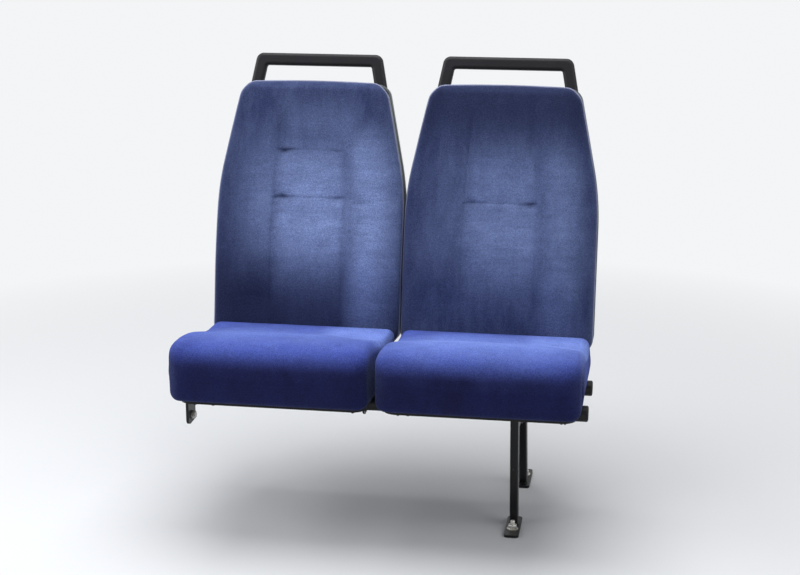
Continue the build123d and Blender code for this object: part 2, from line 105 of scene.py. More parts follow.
# Node-based materials
class Shader:
    """A short way to add and join shader nodes."""

    def __init__(self, name):
        self.material = bpy.data.materials.new(name)
        self.material.use_nodes = True
        self.tree = self.material.node_tree
        self.tree.nodes.clear()
        self.output = self.add("ShaderNodeOutputMaterial")
        self.body = self.add("ShaderNodeBsdfPrincipled")
        self.link(self.body.outputs[0], self.output.inputs[0])
        self.place = self.add("ShaderNodeTexCoord").outputs["Object"]

    def add(self, kind, **values):
        node = self.tree.nodes.new(kind)
        for key, value in values.items():
            setattr(node, key, value)
        return node

    def link(self, start, end):
        self.tree.links.new(start, end)

    def noise(self, scale, detail=3.0, rough=0.5, stretch=None):
        node = self.add("ShaderNodeTexNoise")
        node.inputs["Scale"].default_value = scale
        node.inputs["Detail"].default_value = detail
        node.inputs["Roughness"].default_value = rough
        spot = self.place
        if stretch:
            mapping = self.add("ShaderNodeMapping")
            mapping.inputs["Scale"].default_value = stretch
            self.link(self.place, mapping.inputs["Vector"])
            spot = mapping.outputs["Vector"]
        self.link(spot, node.inputs["Vector"])
        return node.outputs["Fac"]

    def attribute(self, name):
        return self.add("ShaderNodeAttribute", attribute_name=name).outputs["Fac"]

    def span(self, value, low, high, to_low=0.0, to_high=1.0):
        node = self.add("ShaderNodeMapRange")
        self.link(value, node.inputs["Value"])
        node.inputs["From Min"].default_value = low
        node.inputs["From Max"].default_value = high
        node.inputs["To Min"].default_value = to_low
        node.inputs["To Max"].default_value = to_high
        return node.outputs["Result"]

    def math(self, operation, a, b):
        node = self.add("ShaderNodeMath", operation=operation)
        for socket, value in zip(node.inputs, (a, b)):
            if isinstance(value, (int, float)):
                socket.default_value = value
            else:
                self.link(value, socket)
        return node.outputs[0]

    def blend(self, factor, a, b, kind="MIX"):
        node = self.add("ShaderNodeMix", data_type="RGBA", blend_type=kind)
        for name, value in (("Factor_Float", factor), ("A_Color", a), ("B_Color", b)):
            socket = next(s for s in node.inputs if s.identifier == name)
            if isinstance(value, (int, float)):
                socket.default_value = value
            elif isinstance(value, tuple):
                socket.default_value = (*value, 1.0)
            else:
                self.link(value, socket)
        return next(s for s in node.outputs if s.identifier == "Result_Color")

    def bump(self, height, distance, strength=1.0, under=None):
        node = self.add("ShaderNodeBump")
        node.inputs["Distance"].default_value = distance
        node.inputs["Strength"].default_value = strength
        self.link(height, node.inputs["Height"])
        if under is not None:
            self.link(under, node.inputs["Normal"])
        return node.outputs["Normal"]

    def colour(self, value):
        if isinstance(value, tuple):
            self.body.inputs["Base Color"].default_value = (*value, 1.0)
        else:
            self.link(value, self.body.inputs["Base Color"])

    def rough(self, value):
        if isinstance(value, (int, float)):
            self.body.inputs["Roughness"].default_value = value
        else:
            self.link(value, self.body.inputs["Roughness"])

    def normal(self, value):
        self.link(value, self.body.inputs["Normal"])


TUFTS_PER_METRE = 720
DUST_AT_MOST = 0.22


def rgb(red, green, blue):
    """A colour as seen on a screen, 0 to 255, turned into the linear values a shader takes."""
    def linear(value):
        value /= 255
        return value / 12.92 if value <= 0.04045 else ((value + 0.055) / 1.055) ** 2.4
    return linear(red), linear(green), linear(blue)


def plush(name, deep, pale, worn_and_lit, shade_tone):
    """Short-pile seat fabric: uneven tufts, brushed patches, paler where worn and where light is
    painted on, darker where shade is painted on.
    """
    s = Shader(name)
    tufts = s.add("ShaderNodeTexVoronoi")
    tufts.inputs["Scale"].default_value = TUFTS_PER_METRE
    tufts.inputs["Randomness"].default_value = 0.85
    s.link(s.place, tufts.inputs["Vector"])
    nap = s.noise(300, 3, 0.6)
    brushed = s.noise(13, 4, 0.62, (1.0, 1.0, 0.5))
    streak = s.noise(58, 3, 0.55, (1.0, 1.0, 0.2))
    patches = s.span(s.noise(22, 4, 0.65), 0.28, 0.72, 0.72, 1.1)
    ripple = s.span(s.noise(30, 4, 0.6, (0.35, 0.6, 2.4)), 0.3, 0.7, 0.8, 1.1)
    base = s.blend(s.span(brushed, 0.34, 0.66), deep, pale)
    base = s.blend(s.span(streak, 0.42, 0.70, 0.0, 0.07), base, worn_and_lit)
    # Paler where the pile is rubbed, and where light is painted on: the attribute read here carries
    # painted highlights and sheen as well as wear.
    rubbed_and_lit = s.math("MULTIPLY", s.attribute("wear_and_light"), s.math("MULTIPLY", patches, ripple))
    base = s.blend(rubbed_and_lit, base, worn_and_lit)
    # Painted shade: the attribute read here and the last colour darken the cloth where shade falls.
    shade_amount = s.math("MULTIPLY", s.attribute("painted_shade"), s.span(brushed, 0.3, 0.7, 0.84, 1.02))
    base = s.blend(shade_amount, base, shade_tone)
    tuft_tone = s.span(tufts.outputs["Color"], 0.0, 1.0, 0.72, 1.28)
    tone = s.math("MULTIPLY", tuft_tone, s.span(nap, 0.3, 0.7, 0.86, 1.14))
    # Painted shade between the tufts: darker away from each tuft's middle.
    between = s.span(tufts.outputs["Distance"], 0.0, 0.7, 1.0, 0.62)
    s.colour(s.blend(1.0, base, s.math("MULTIPLY", tone, between), "MULTIPLY"))
    s.rough(0.92)
    s.body.inputs["Sheen Weight"].default_value = 0.22
    s.body.inputs["Sheen Roughness"].default_value = 0.4
    s.body.inputs["Sheen Tint"].default_value = (*rgb(158, 178, 232), 1.0)
    s.body.inputs["Specular IOR Level"].default_value = 0.1
    pile = s.bump(s.span(tufts.outputs["Distance"], 0.0, 0.7, 1.0, 0.0), 0.0007, 0.8)
    s.normal(s.bump(nap, 0.0012, 0.35, pile))
    return s.material


def vinyl(name, base, dark, grain=520, rough=0.5):
    """Coated cloth: pebbled grain, soft gloss, scuffs."""
    s = Shader(name)
    pebble = s.add("ShaderNodeTexVoronoi")
    pebble.inputs["Scale"].default_value = grain
    s.link(s.place, pebble.inputs["Vector"])
    scuff = s.span(s.noise(14, 5, 0.65), 0.42, 0.72)
    s.colour(s.blend(scuff, base, dark))
    s.rough(s.span(scuff, 0, 1, rough, rough + 0.16))
    s.normal(s.bump(pebble.outputs["Distance"], 0.0005, 0.5))
    return s.material


def moulded(name, base, dark, rough=0.5, gloss=0.22, scratched=(0.03, 0.03, 0.03)):
    """Moulded plastic with a fine spark grain, scuffed in places."""
    s = Shader(name)
    fine = s.noise(700, 2, 0.5)
    wide = s.span(s.noise(7, 4, 0.6), 0.35, 0.7)
    scratch = s.span(s.noise(60, 3, 0.7, (1.0, 1.0, 7.0)), 0.66, 0.7, 0.0, 0.5)
    s.colour(s.blend(scratch, s.blend(wide, base, dark), scratched))
    s.rough(s.span(s.noise(30, 3, 0.6), 0.2, 0.8, rough - 0.08, rough + 0.1))
    s.body.inputs["Specular IOR Level"].default_value = gloss
    s.normal(s.bump(fine, 0.0003, 0.55))
    return s.material


def painted(name, base, chip, rough=0.38):
    """Stove enamel on steel, chipped and dusty in places."""
    s = Shader(name)
    chips = s.span(s.noise(60, 5, 0.7), 0.68, 0.72)
    dust = s.span(s.noise(11, 4, 0.6), 0.46, 0.8, 0.0, DUST_AT_MOST)
    s.colour(s.blend(chips, s.blend(dust, base, rgb(58, 58, 57)), chip))
    s.rough(s.span(dust, 0, DUST_AT_MOST, rough, rough + 0.25))
    s.body.inputs["Specular IOR Level"].default_value = 0.24
    s.normal(s.bump(s.noise(240, 3, 0.6), 0.0002, 0.5))
    return s.material


def steel(name, tone, tarnish):
    """Zinc-plated steel, dulled in patches."""
    s = Shader(name)
    s.colour(s.blend(s.span(s.noise(90, 4, 0.6), 0.4, 0.7), tone, tarnish))
    s.body.inputs["Metallic"].default_value = 1.0
    s.rough(s.span(s.noise(150, 3, 0.6), 0.3, 0.7, 0.28, 0.5))
    s.normal(s.bump(s.noise(500, 2, 0.5), 0.0002, 0.4))
    return s.material


# Each fabric's colours: deep, pale, the pale of wear and painted light, and the painted shade.
back_fabric = plush(
    "back_plush", rgb(54, 64, 104), rgb(70, 81, 121), rgb(147, 167, 221), rgb(36, 43, 75)
)
cushion_fabric = plush(
    "cushion_plush", rgb(50, 62, 146), rgb(62, 78, 172), rgb(131, 155, 236), rgb(29, 32, 75)
)
side_vinyl = vinyl("side_vinyl", rgb(112, 120, 118), rgb(88, 96, 96))
welt_vinyl = vinyl("welt_vinyl", rgb(116, 122, 152), rgb(90, 96, 122), 900, 0.42)
shell_plastic = moulded(
    "shell_plastic", rgb(100, 104, 104), rgb(91, 95, 96), 0.5, 0.45, rgb(124, 127, 127)
)
grip_plastic = moulded("grip_plastic", rgb(23, 22, 27), rgb(17, 17, 20), 0.46)
pan_plastic = moulded("pan_plastic", rgb(28, 28, 30), rgb(22, 22, 24), 0.55)
cap_plastic = moulded("cap_plastic", rgb(24, 24, 25), rgb(18, 18, 19), 0.5)
frame_paint = painted("frame_paint", rgb(19, 20, 22), rgb(78, 72, 66))
leg_paint = painted("leg_paint", rgb(15, 16, 18), rgb(88, 82, 76), 0.36)
bolt_steel = steel("bolt_steel", rgb(200, 200, 196), rgb(120, 112, 100))

CARRIED = {               # start of the names of the solids that stay, and their material
    "backrest_shell": shell_plastic,
    "grab_handle": grip_plastic,
    "seat_pan": pan_plastic,
    "frame_arm": frame_paint,
    "back_upright": frame_paint,
    "cross_tube": frame_paint,
    "wall_bracket": frame_paint,
    "tube_cap": cap_plastic,
    "leg_": leg_paint,
}
for node_name, node in nodes.items():
    for stem, material in CARRIED.items():
        if node_name.startswith(stem):
            node.data.materials.clear()
            node.data.materials.append(material)


# Mesh building
def mesh_object(name, points, faces, materials, picks=None):
    mesh = bpy.data.meshes.new(name)
    mesh.from_pydata([tuple(p) for p in points], [], faces)
    for material in materials:
        mesh.materials.append(material)
    for index, polygon in enumerate(mesh.polygons):
        polygon.use_smooth = True
        if picks:
            polygon.material_index = picks[index]
    mesh.update()
    bm = bmesh.new()
    bm.from_mesh(mesh)
    bmesh.ops.recalc_face_normals(bm, faces=bm.faces)
    bm.to_mesh(mesh)
    bm.free()
    piece = bpy.data.objects.new(name, mesh)
    bpy.context.scene.collection.objects.link(piece)
    return piece


SQUARE = ((0, 0), (1, 0), (1, 1), (0, 1))


def box_shell(name, counts, place, materials, pick):
    """Closed skin of a box lattice, each point placed by its three counts."""
    across, along, through = counts
    index = {}
    points = []
    faces = []
    picks = []

    def at(*spot):
        if spot not in index:
            index[spot] = len(points)
            points.append(place(*spot))
        return index[spot]

    def side(first, second, corner, label):
        for a in range(first):
            for b in range(second):
                faces.append(tuple(at(*corner(a + i, b + j)) for i, j in SQUARE))
                picks.append(pick(label, a, b))

    for end, label in ((0, "front"), (through, "rear")):
        side(across, along, lambda a, b: (a, b, end), label)
    for end, label in ((0, "left"), (across, "right")):
        side(along, through, lambda a, b: (end, a, b), label)
    for end, label in ((0, "low"), (along, "high")):
        side(across, through, lambda a, b: (a, end, b), label)
    return mesh_object(name, points, faces, materials, picks), index


def subdivide(piece, levels):
    modifier = piece.modifiers.new("smooth", "SUBSURF")
    modifier.levels = levels
    modifier.render_levels = levels
    return piece


def set_values(piece, name, values):
    layer = piece.data.attributes.new(name, "FLOAT", "POINT")
    layer.data.foreach_set("value", values)


PUFF_PRESSURE = 3.0
PUFF_CAP = 0.006
PUFF_FRAMES = 20


def puff(piece, held):
    """Cloth under pressure, held where the cover is sewn or tied, no point moved past the cap."""
    start = [v.co.copy() for v in piece.data.vertices]
    group = piece.vertex_groups.new(name="held")
    for index, weight in enumerate(held):
        if weight > 0:
            group.add([index], weight, "REPLACE")
    cloth = piece.modifiers.new("cover", "CLOTH")
    cloth.settings.vertex_group_mass = "held"
    cloth.settings.quality = 4
    cloth.settings.mass = 0.3
    cloth.settings.tension_stiffness = 25
    cloth.settings.compression_stiffness = 25
    cloth.settings.shear_stiffness = 12
    cloth.settings.bending_stiffness = 0.8
    cloth.settings.use_pressure = True
    cloth.settings.uniform_pressure_force = PUFF_PRESSURE
    cloth.settings.effector_weights.gravity = 0
    cloth.point_cache.frame_start = 1
    cloth.point_cache.frame_end = PUFF_FRAMES
    scene = bpy.context.scene
    for step in range(1, PUFF_FRAMES + 1):
        scene.frame_set(step)
    moved = piece.evaluated_get(bpy.context.evaluated_depsgraph_get()).data
    ends = [v.co.copy() for v in moved.vertices]
    piece.modifiers.remove(cloth)
    for vertex, before, after in zip(piece.data.vertices, start, ends):
        step = after - before
        if step.length > PUFF_CAP:
            step *= PUFF_CAP / step.length
        vertex.co = before + step
    piece.vertex_groups.remove(group)
    scene.frame_set(1)
    piece.data.update()


TUBE_SIDES = 8


def tube_skin(points, radii, closed):
    """Points and faces of a round tube along points, with a frame carried from point to point."""
    count = len(points)
    verts = []
    last = None
    for i, point in enumerate(points):
        ahead = points[(i + 1) % count] if closed or i + 1 < count else point
        behind = points[i - 1] if closed or i > 0 else point
        along = (ahead - behind).normalized()
        if last is None:
            last = along.orthogonal().normalized()
        across = (last - along * last.dot(along)).normalized()
        last = across
        other = along.cross(across)
        turns = [2 * math.pi * k / TUBE_SIDES for k in range(TUBE_SIDES)]
        verts += [point + (across * math.cos(a) + other * math.sin(a)) * radii[i] for a in turns]
    faces = []
    for i in range(count if closed else count - 1):
        for k in range(TUBE_SIDES):
            near, far = i * TUBE_SIDES, (i + 1) % count * TUBE_SIDES
            turn = (k + 1) % TUBE_SIDES
            faces.append((near + k, near + turn, far + turn, far + k))
    if not closed:
        faces.append(tuple(reversed(range(TUBE_SIDES))))
        faces.append(tuple((count - 1) * TUBE_SIDES + k for k in range(TUBE_SIDES)))
    return verts, faces


def finish_piece(piece, slot, *replaced):
    """Every piece rides on the one body and may stand for solids, whose parts it hides; the slot is not
    used.
    """
    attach(piece, "root")
    if replaced:
        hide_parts(*replaced)
    return piece


# Backrest covers, in the backrest's own frame: x across, depth behind the front, height up the lean
WELT_RADIUS = 0.0026
PAD_ROLL = 0.018
PAD_CLEAR = 0.0004        # between the cover's rear and the shell's rim
SIDE_DEPTHS = (0.0215, 0.028, 0.036, 0.044, PAD_THICKNESS - PAD_CLEAR)
SHARE_STEP = 0.036
HEIGHT_STEP = 0.0078
LUMBAR_RISE = 0.010
LUMBAR_START, LUMBAR_SPAN = 0.008, 0.284
PANEL_SHARE = 0.41        # edge of the middle panel, as a share of the half width
SEWN_LOW, SEWN_HIGH = 0.05, 0.47
LEFT_DIMPLE = -0.76, 0.46    # middle and reach along a crease, as shares of the panel's half width
RIGHT_DIMPLE = 0.84, 0.34
CREASE_FADES, CREASE_ENDS = 0.90, 1.18
TIES = {                  # height, and depth of the left dimple, between the dimples, of the right one
    "window": ((0.393, 0.95, 0.10, 0.55), (0.285, 0.95, 0.22, 0.60)),
    "aisle": ((0.285, 0.50, 0.20, 0.90),),
}
WRINKLES = {              # share of the half width, height, half length as a share, depth
    "window": (
        (-0.40, 0.268, 0.13, 0.8), (-0.36, 0.250, 0.16, 0.9),
        (-0.41, 0.233, 0.13, 0.7), (-0.37, 0.214, 0.11, 0.6),
        (0.62, 0.322, 0.17, 0.7), (0.60, 0.276, 0.20, 0.9),
        (0.66, 0.243, 0.18, 0.8), (0.62, 0.205, 0.20, 0.9),
    ),
    "aisle": ((-0.34, 0.330, 0.14, 0.5), (0.58, 0.262, 0.16, 0.6), (0.02, 0.232, 0.22, 0.5)),
}
WRINKLE_DROOP = 0.006
BAND_MIDDLE, BAND_REACH = 0.67, 0.33    # paler band beside the panel, partly rubbed and partly painted light, as shares of the half width
BAND_OUTWARD = {"window": 0.60, "aisle": 0.42}
ROLL_STEPS = 5


def lean_point(side, x, depth, height):
    """A spot in one backrest's own frame, turned into the part's frame."""
    y = depth * math.cos(RECLINE) + height * math.sin(RECLINE)
    z = -depth * math.sin(RECLINE) + height * math.cos(RECLINE)
    return Vector((SEAT_X[side] + x, BIGHT.y + y, BIGHT.z + z))


def back_half(height):
    """Half the backrest's width at a height, apart from its round corners."""
    slope = (BACK_HALF - BACK_TOP_HALF) / (BACK_TOP - BACK_TAPER_START)
    rise = height - BACK_TAPER_START
    if rise < -BACK_TAPER_BLEND:
        return BACK_HALF
    if rise > BACK_TAPER_BLEND:
        return BACK_HALF - slope * rise
    return BACK_HALF - slope * (rise + BACK_TAPER_BLEND) ** 2 / (4 * BACK_TAPER_BLEND)


def round_corner(x, height, half, top, low, radius):
    """Turns the square corners of the outline into round ones."""
    a = (abs(x) - (half - radius)) / radius
    up = (height - (top - radius)) / radius
    down = ((low + radius) - height) / radius
    b = max(up, down)
    if a <= 0 or b <= 0:
        return x, height
    a, b = min(a, 1.0), min(b, 1.0)
    new_a = a * math.sqrt(1 - b * b / 2)
    new_b = b * math.sqrt(1 - a * a / 2)
    x = math.copysign(half - radius + new_a * radius, x)
    height = top - radius + new_b * radius if up > down else low + radius - new_b * radius
    return x, height


def lumbar(height):
    """How far the lower back stands forward."""
    along = min(1, max(0, (height - LUMBAR_START) / LUMBAR_SPAN))
    return LUMBAR_RISE * math.sin(math.pi * along) ** 1.5


def tie_pull(side, share, height, half_span):
    """How far a tied crease pulls in at a spot, 0 to 1, for creases of the given half height."""
    along = share / PANEL_SHARE
    ends = 1 - smooth(CREASE_FADES, CREASE_ENDS, abs(along))
    pull = 0.0
    for tie, left, between, right in TIES[side]:
        depth = between + left * bump_at(along, *LEFT_DIMPLE) + right * bump_at(along, *RIGHT_DIMPLE)
        depth *= 0.85 + 0.6 * noise.noise(Vector((share * 15, tie * 60, 5)))
        waver = 0.0046 * noise.noise(Vector((share * 8, tie * 40, 0)))
        pull = max(pull, depth * ends * bump_at(height, tie + waver, half_span))
    return pull


def wrinkle(side, share, height, half_height):
    """Depth of the small wrinkles beside the creases and on the bolster, 0 to 1."""
    depth = 0.0
    for middle_share, level, reach, strength in WRINKLES[side]:
        along = bump_at(share, middle_share, reach)
        droop = WRINKLE_DROOP * (share - middle_share) / reach
        depth = max(depth, strength * along * bump_at(height, level + droop, half_height))
    return depth


def back_front(side, share, x, height):
    """Depth of the cover's front: bolsters beside the middle panel, soft unevenness, pulled ties."""
    spread = smooth(0.03, 0.12, height) * (1 - smooth(0.43, 0.53, height))
    inside = smooth(0.0, 0.10, 1 - abs(share))
    bolster = 0.0055 * bump_at(abs(share), 0.66, 0.33) * spread
    panel = 0.0035 * (1 - smooth(PANEL_SHARE - 0.10, PANEL_SHARE + 0.03, abs(share))) * spread
    crown = 0.004 * (1 - share * share)
    seed = Vector((x * 11 + SEAT_X[side] * 5, height * 9, 3.1))
    uneven = 0.0014 * noise.noise(seed) + 0.0007 * noise.noise(seed * 2.7)
    pull = 0.0034 * tie_pull(side, share, height, 0.034)
    return -lumbar(height) + inside * (panel - bolster - crown + uneven + pull)


def aisle_band(side, share):
    """The paler band beside the middle panel on the aisle side, partly rubbed and partly painted light,
    which fades out to the edge.
    """
    return bump_at(share, BAND_MIDDLE, BAND_REACH if share < BAND_MIDDLE else BAND_OUTWARD[side])


def back_wear_and_light(side, share, height):
    """Where sitters have rubbed the pile pale, and where light is painted on: the middle, and a band on
    the aisle side of it.
    """
    window = side == "window"
    lowered = 0.045 * smooth(0.3, 0.9, -share) if window else -0.012
    reach = smooth(0.015, 0.25, height - lowered) * (1 - smooth(0.28, 0.50, height))
    panel = 0.92 * (1 - smooth(0.26, 0.62, abs(share))) * mix(0.86, 1.0, smooth(-0.40, 0.10, share))
    lowest_tie = TIES[side][-1][0]
    # Painted shade just below the lowest crease: less pale there.
    panel *= 1 - 0.25 * bump_at(height, lowest_tie - 0.024, 0.034)
    rest = (0.50 if window else 0.27) * (1 - smooth(0.45, 0.98, abs(share)))
    band = 0.86 * aisle_band(side, share)
    band *= smooth(-0.06, 0.13, height) * (1 - smooth(0.34, 0.50, height))
    head = 0.26 * smooth(0.28, 0.38, height) * (1 - smooth(0.44, 0.54, height))
    head *= 1 - smooth(0.30, 0.75, abs(share - 0.15))
    if window:
        return max(panel * reach, rest * reach, band, head)
    return 0.66 * max(panel * reach, rest * reach, 0.76 * band, 0.4 * head)


def back_shade(side, share, height):
    """Painted shade at the foot, at the head, along the edges, along the panel's seams and in the
    creases.
    """
    window = side == "window"
    # Painted shade: darker at the head, at the foot beside the cushion, towards the edges and along the
    # panel's seams.
    head = 0.12 * smooth(0.40, 0.54, height) if window else 0.85 * smooth(0.36, 0.50, height)
    foot = (0.80 if window else 0.14) * (1 - smooth(0.0, 0.18, height))
    foot *= 1 - 0.8 * aisle_band(side, share)
    # Painted shadow in the window seat's lower corner on the window side.
    corner = 0.45 * (1 - smooth(0.05, 0.30, height)) * smooth(0.10, 0.60, -share) if window else 0.0
    edge = (0.26 if share < 0 else 0.10) * smooth(0.80, 1.0, abs(share))
    seam = 0.09 * bump_at(abs(share), PANEL_SHARE, 0.04) * (1 - smooth(0.30, 0.46, height))
    # Painted shade in the tied creases and the small wrinkles.
    crease_shade = 0.70 * tie_pull(side, share, height, 0.010) + 0.30 * wrinkle(side, share, height, 0.007)
    return min(1.0, head + foot + corner + edge + seam + crease_shade)


def back_cover(side):
    """Front, rolled edge and side band in one skin, with a welt along the seam between them."""
    low, top = BACK_LOW + PAD_ROLL, BACK_TOP - PAD_ROLL
    shares = ticks(-1, 1, SHARE_STEP, marks=(-PANEL_SHARE, PANEL_SHARE), near=(0.013, 0.030))
    tie_heights = [tie[0] for tie in TIES[side]]
    heights = ticks(low, top, HEIGHT_STEP, marks=tie_heights, near=(0.002, 0.0045, 0.0085))
    full = PAD_ROLL - WELT_RADIUS
    steps = [(full * math.sin(a), PAD_ROLL * (1 - math.cos(a)))
             for a in (math.pi / 2 * k / ROLL_STEPS for k in range(ROLL_STEPS + 1))]
    steps += [(full, depth) for depth in SIDE_DEPTHS]
    centre = (top + low) / 2
    spots = []

    def place(i, j, k):
        grow, depth = steps[k]
        share = shares[i]
        height = centre + (heights[j] - centre) * (1 + 2 * grow / (top - low))
        half = back_half(height) - PAD_ROLL + grow
        x, height = round_corner(share * half, height, half, top + grow, low - grow,
                                 BACK_CORNER - PAD_ROLL + grow)
        height -= BACK_CROWN * (x / BACK_TOP_HALF) ** 2 * smooth(0.45, 0.55, height)
        sink = back_front(side, share, x, height) if k == 0 else -lumbar(height)
        spots.append((share, x, height, j, k))
        return lean_point(side, x, depth + sink * (1 - depth / PAD_THICKNESS), height)

    counts = len(shares) - 1, len(heights) - 1, len(steps) - 1
    piece, index = box_shell(
        f"back_cover_{side}", counts, place, [back_fabric, side_vinyl],
        lambda label, a, b: 1 if label in ("left", "right", "high", "low") and b >= ROLL_STEPS else 0,
    )
    held = []
    # Per point: paleness of wear with painted light, and painted shade.
    wear_and_light = []
    painted_shade = []
    for share, x, height, j, k in spots:
        on_front = k == 0 and abs(share) < 1 and 0 < j < counts[1]
        tied = tie_pull(side, share, height, 0.004) > 0.15
        sewn = abs(abs(share) - PANEL_SHARE) < 0.004 and SEWN_LOW < height < SEWN_HIGH
        free = 0.6 if sewn else 0.0
        held.append(1.0 if tied or not on_front else free)
        wear_and_light.append(back_wear_and_light(side, share, height))
        painted_shade.append(back_shade(side, share, height))
    puff(piece, held)
    inward = Vector((0, math.cos(RECLINE), -math.sin(RECLINE)))
    for vertex, (share, x, height, j, k) in zip(piece.data.vertices, spots):
        if k == 0:
            crease = 0.0034 * tie_pull(side, share, height, 0.0052)
            spread = smooth(0.05, 0.10, height) * (1 - smooth(0.42, 0.50, height))
            channel = 0.0012 * bump_at(abs(share), PANEL_SHARE, 0.016) * spread
            gather = 0.0009 * tie_pull(side, share, height, 0.026) * math.sin(x * 520 + height * 60)
            fold = 0.0015 * wrinkle(side, share, height, 0.008)
            vertex.co += inward * (crease + channel + gather + fold)
    set_values(piece, "wear_and_light", wear_and_light)
    set_values(piece, "painted_shade", painted_shade)
    rim = [(i, 0) for i in range(counts[0])] + [(counts[0], j) for j in range(counts[1])]
    rim += [(i, counts[1]) for i in range(counts[0], 0, -1)] + [(0, j) for j in range(counts[1], 0, -1)]
    seam = [piece.data.vertices[index[i, j, ROLL_STEPS]].co.copy() for i, j in rim]
    subdivide(piece, 1)
    finish_piece(piece, "backrest_fabric", f"backrest_pad_{side}")
    welt = mesh_object(
        f"back_welt_{side}", *tube_skin(seam, [WELT_RADIUS] * len(seam), closed=True), [welt_vinyl]
    )
    subdivide(welt, 1)
    finish_piece(welt, "backrest_fabric")


# Cushion covers: side profile in (y, z) from the bight, with y forward negative
CUSHION_CLEAR = 0.0003
CUSHION_ROLL = 0.019
CUSHION_STEP = 0.009      # between the points across the seat
OUTER_BULGE, INNER_BULGE = 0.0050, 0.0010
FRONT_CORNER = 0.040
FRONT_SLOPE = 0.014
CREST = Vector((-0.338, 0.052))
FRONT_HIGH = Vector((-CUSHION_DEPTH, -0.004))
FLAT_STEP, FLAT_STEPS = 0.008, 5
HOLLOW_STEPS, ROLL_OVER_STEPS = 17, 12
CAP_ROWS = 9


def arc_between(start, heading, end, steps):
    """Points of the arc that leaves start along heading and reaches end, and its last heading."""
    chord = end - start
    turn = 2 * math.atan2(heading.x * chord.y - heading.y * chord.x, heading.dot(chord))
    first = math.atan2(heading.y, heading.x)
    points = []
    for k in range(1, steps + 1):
        t = k / steps
        length = chord.length * math.sin(turn * t / 2) / math.sin(turn / 2)
        spin = first + turn * t / 2
        points.append(start + Vector((math.cos(spin), math.sin(spin))) * length)
    return points, Vector((math.cos(first + turn), math.sin(first + turn)))


def cushion_chains():
    """The profile as two chains of as many points: over the top, and along the underside."""
    drop = BASE_HEIGHT - BIGHT.z
    rake = math.tan(SEAT_RAKE)
    lean = math.tan(RECLINE)
    rear_y = drop * lean / (1 + rake * lean)
    rear_low = Vector((rear_y, drop - rear_y * rake))
    flat = [Vector((-FLAT_STEP * k, 0)) for k in range(FLAT_STEPS + 1)]
    turn = (flat[-1] + CREST) / 2
    hollow, heading = arc_between(flat[-1], Vector((-1, 0)), turn, HOLLOW_STEPS)
    rise, heading = arc_between(turn, heading, CREST, HOLLOW_STEPS)
    roll, heading = arc_between(CREST, heading, FRONT_HIGH, ROLL_OVER_STEPS)
    upper = flat + hollow + rise + roll
    front_y = -CUSHION_DEPTH + FRONT_SLOPE
    front_low = Vector((front_y, drop - front_y * rake))
    lower = [rear_low.lerp(front_low, k / (len(upper) - 1)) for k in range(len(upper))]
    return upper, lower


def closed_loop(upper, lower):
    """The profile's outline: over the top, down the front, back along the underside, up the rear."""
    shares = [k / CAP_ROWS for k in range(1, CAP_ROWS)]
    front = [upper[-1].lerp(lower[-1], share) for share in shares]
    rear = [lower[0].lerp(upper[0], share) for share in shares]
    return upper + front + lower[::-1] + rear


def soften_loop(loop, passes):
    for _ in range(passes):
        loop = [(loop[i - 1] + 2 * loop[i] + loop[(i + 1) % len(loop)]) / 4 for i in range(len(loop))]
    return loop


def inward_normals(loop):
    """Directions square to the loop, smoothed along it so that offsets stay clear of each other."""
    centre = sum(loop, Vector((0, 0))) / len(loop)
    normals = []
    for i, point in enumerate(loop):
        along = loop[(i + 1) % len(loop)] - loop[i - 1]
        normal = Vector((along.y, -along.x)).normalized()
        normals.append(normal if normal.dot(centre - point) > 0 else -normal)
    return [normal.normalized() for normal in soften_loop(normals, 7)]


